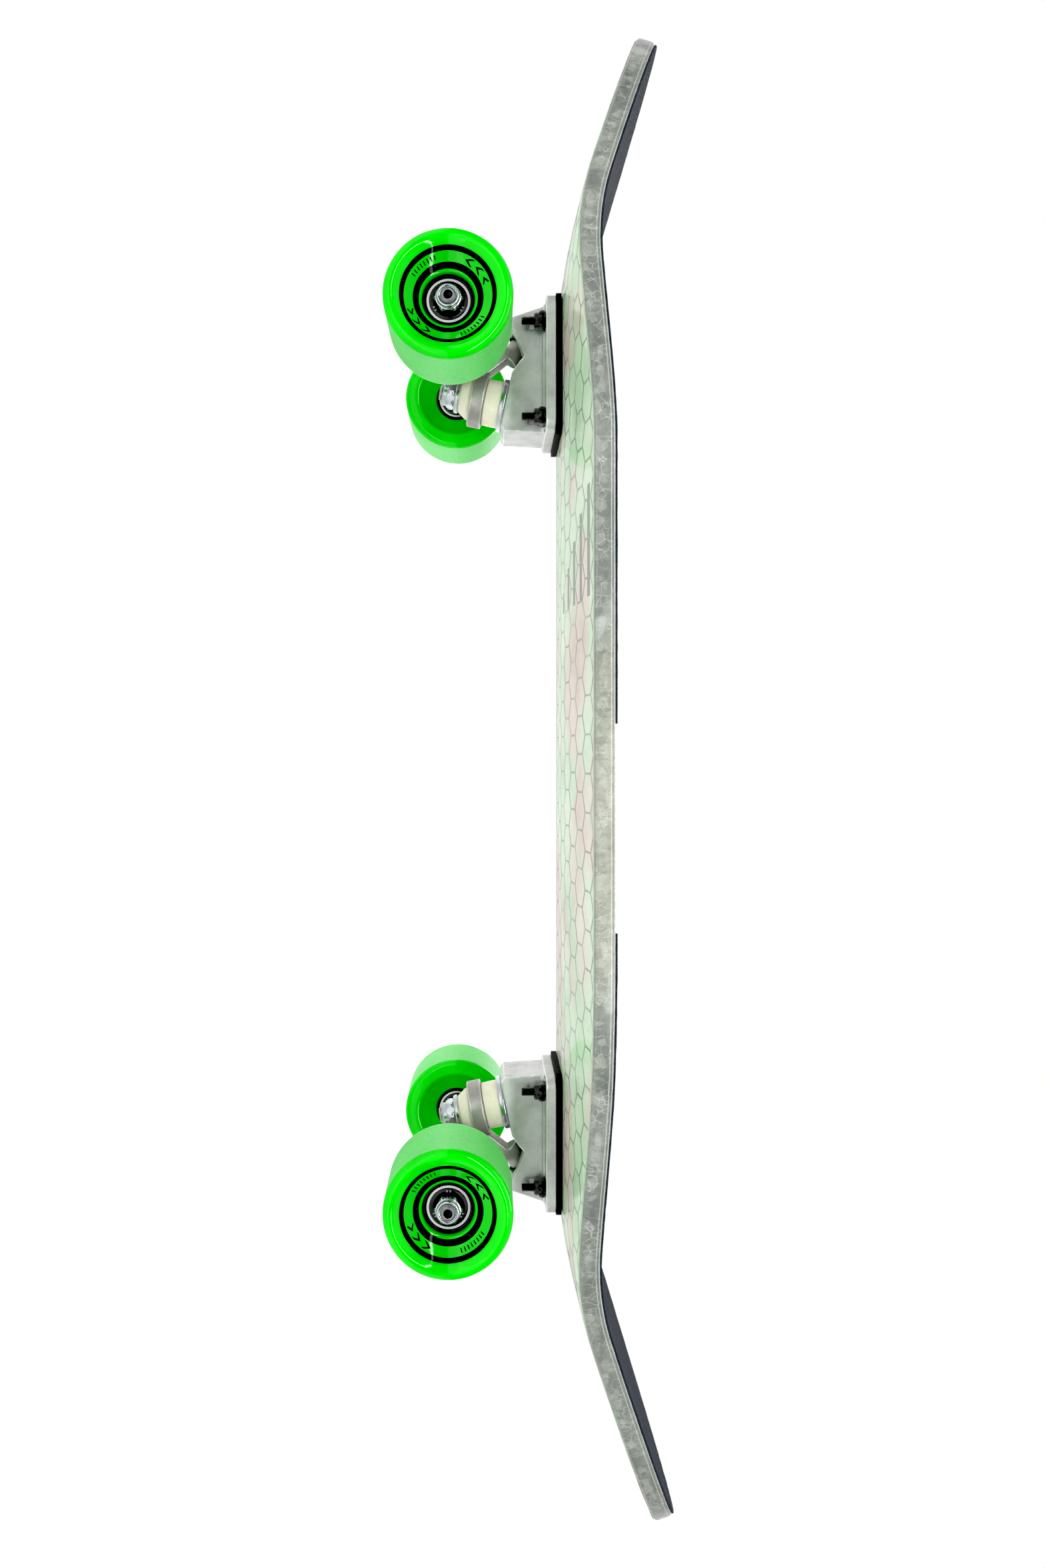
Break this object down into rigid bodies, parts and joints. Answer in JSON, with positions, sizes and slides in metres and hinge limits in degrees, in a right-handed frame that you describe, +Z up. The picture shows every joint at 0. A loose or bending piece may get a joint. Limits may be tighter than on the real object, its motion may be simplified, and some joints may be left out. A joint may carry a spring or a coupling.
{
  "type": "skateboard",
  "caption": "Cruiser skateboard: kicked, concave deck with a honeycomb core and grip, on kingpin trucks with soft urethane wheels.",
  "frame": {"origin": "on the ground, under the middle of the board's overall box", "axes": "+X towards the nose, +Y towards the rider's left side, +Z up, square to the ground"},
  "size_m": [0.8488, 0.218, 0.1588],
  "materials": {
    "deck_skin": "translucent glass-fibre laminate, glossy, mint with pale pink clouds",
    "deck_core": "translucent hexagonal cell core",
    "rail_resin": "translucent grey cast resin, glossy and slightly rippled",
    "grip": "black abrasive grit sheet",
    "pad_rubber": "matt black",
    "cast_aluminium": "tumbled casting, satin",
    "cup_plastic": "black moulding",
    "kingpin_steel": "zinc-plated steel",
    "zinc": "bright zinc plating",
    "bushing_urethane": "cream urethane, satin",
    "axle_steel": "ground steel",
    "black_hardware": "black oxide",
    "wheel_urethane": "bright green urethane, glossy faces and satin tread",
    "core_plastic": "black moulding",
    "bearing_steel": "polished steel",
    "shield_black": "black seal"
  },
  "bodies": {
    "deck": {"deck_bottom_skin": "deck_skin", "honeycomb_core": "deck_core", "edge_rail": "rail_resin", "deck_top_skin": "deck_skin", "grip_front": "grip", "grip_rear": "grip", "front_riser_pad": "pad_rubber", "front_baseplate": "cast_aluminium", "front_pivot_cup": "cup_plastic", "front_kingpin": "kingpin_steel", "front_boardside_washer": "zinc", "front_boardside_bushing": "bushing_urethane", "front_roadside_bushing": "bushing_urethane", "front_roadside_washer": "zinc", "front_kingpin_nut": "zinc", "front_mounting_bolts": "black_hardware", "front_mounting_nuts": "black_hardware", "rear_riser_pad": "pad_rubber", "rear_baseplate": "cast_aluminium", "rear_pivot_cup": "cup_plastic", "rear_kingpin": "kingpin_steel", "rear_boardside_washer": "zinc", "rear_boardside_bushing": "bushing_urethane", "rear_roadside_bushing": "bushing_urethane", "rear_roadside_washer": "zinc", "rear_kingpin_nut": "zinc", "rear_mounting_bolts": "black_hardware", "rear_mounting_nuts": "black_hardware"},
    "front_truck": {"front_hanger": "cast_aluminium", "front_axle": "axle_steel", "front_speed_washers": "zinc", "front_axle_nuts": "zinc", "front_left_bearing_hubs": "bearing_steel", "front_right_bearing_hubs": "bearing_steel"},
    "front_left_wheel": {"front_left_tyre": "wheel_urethane", "front_left_core": "core_plastic", "front_left_bearing_races": "bearing_steel", "front_left_bearing_shields": "shield_black", "front_left_bearing_balls": "bearing_steel"},
    "front_right_wheel": {"front_right_tyre": "wheel_urethane", "front_right_core": "core_plastic", "front_right_bearing_races": "bearing_steel", "front_right_bearing_shields": "shield_black", "front_right_bearing_balls": "bearing_steel"},
    "rear_truck": {"rear_hanger": "cast_aluminium", "rear_axle": "axle_steel", "rear_speed_washers": "zinc", "rear_axle_nuts": "zinc", "rear_left_bearing_hubs": "bearing_steel", "rear_right_bearing_hubs": "bearing_steel"},
    "rear_left_wheel": {"rear_left_tyre": "wheel_urethane", "rear_left_core": "core_plastic", "rear_left_bearing_races": "bearing_steel", "rear_left_bearing_shields": "shield_black", "rear_left_bearing_balls": "bearing_steel"},
    "rear_right_wheel": {"rear_right_tyre": "wheel_urethane", "rear_right_core": "core_plastic", "rear_right_bearing_races": "bearing_steel", "rear_right_bearing_shields": "shield_black", "rear_right_bearing_balls": "bearing_steel"}
  },
  "joints": [
    {"name": "front_steer", "type": "hinge", "parent": "deck", "child": "front_truck", "pos_m": [0.2565, 0, 0.0745], "axis": [0.7925, 0, 0.6098], "range_deg": [-12, 12], "stiffness_Nm_per_rad": 60, "deforming": ["front_boardside_bushing", "front_roadside_bushing"]},
    {"name": "front_left_spin", "type": "hinge", "parent": "front_truck", "child": "front_left_wheel", "pos_m": [0.242, 0.076, 0.0325], "axis": [0, 1, 0], "continuous": true},
    {"name": "front_right_spin", "type": "hinge", "parent": "front_truck", "child": "front_right_wheel", "pos_m": [0.242, -0.076, 0.0325], "axis": [0, 1, 0], "continuous": true},
    {"name": "rear_steer", "type": "hinge", "parent": "deck", "child": "rear_truck", "pos_m": [-0.2275, 0, 0.0745], "axis": [-0.7925, 0, 0.6098], "range_deg": [-12, 12], "stiffness_Nm_per_rad": 60, "deforming": ["rear_boardside_bushing", "rear_roadside_bushing"]},
    {"name": "rear_left_spin", "type": "hinge", "parent": "rear_truck", "child": "rear_left_wheel", "pos_m": [-0.213, 0.076, 0.0325], "axis": [0, 1, 0], "continuous": true},
    {"name": "rear_right_spin", "type": "hinge", "parent": "rear_truck", "child": "rear_right_wheel", "pos_m": [-0.213, -0.076, 0.0325], "axis": [0, 1, 0], "continuous": true}
  ]
}
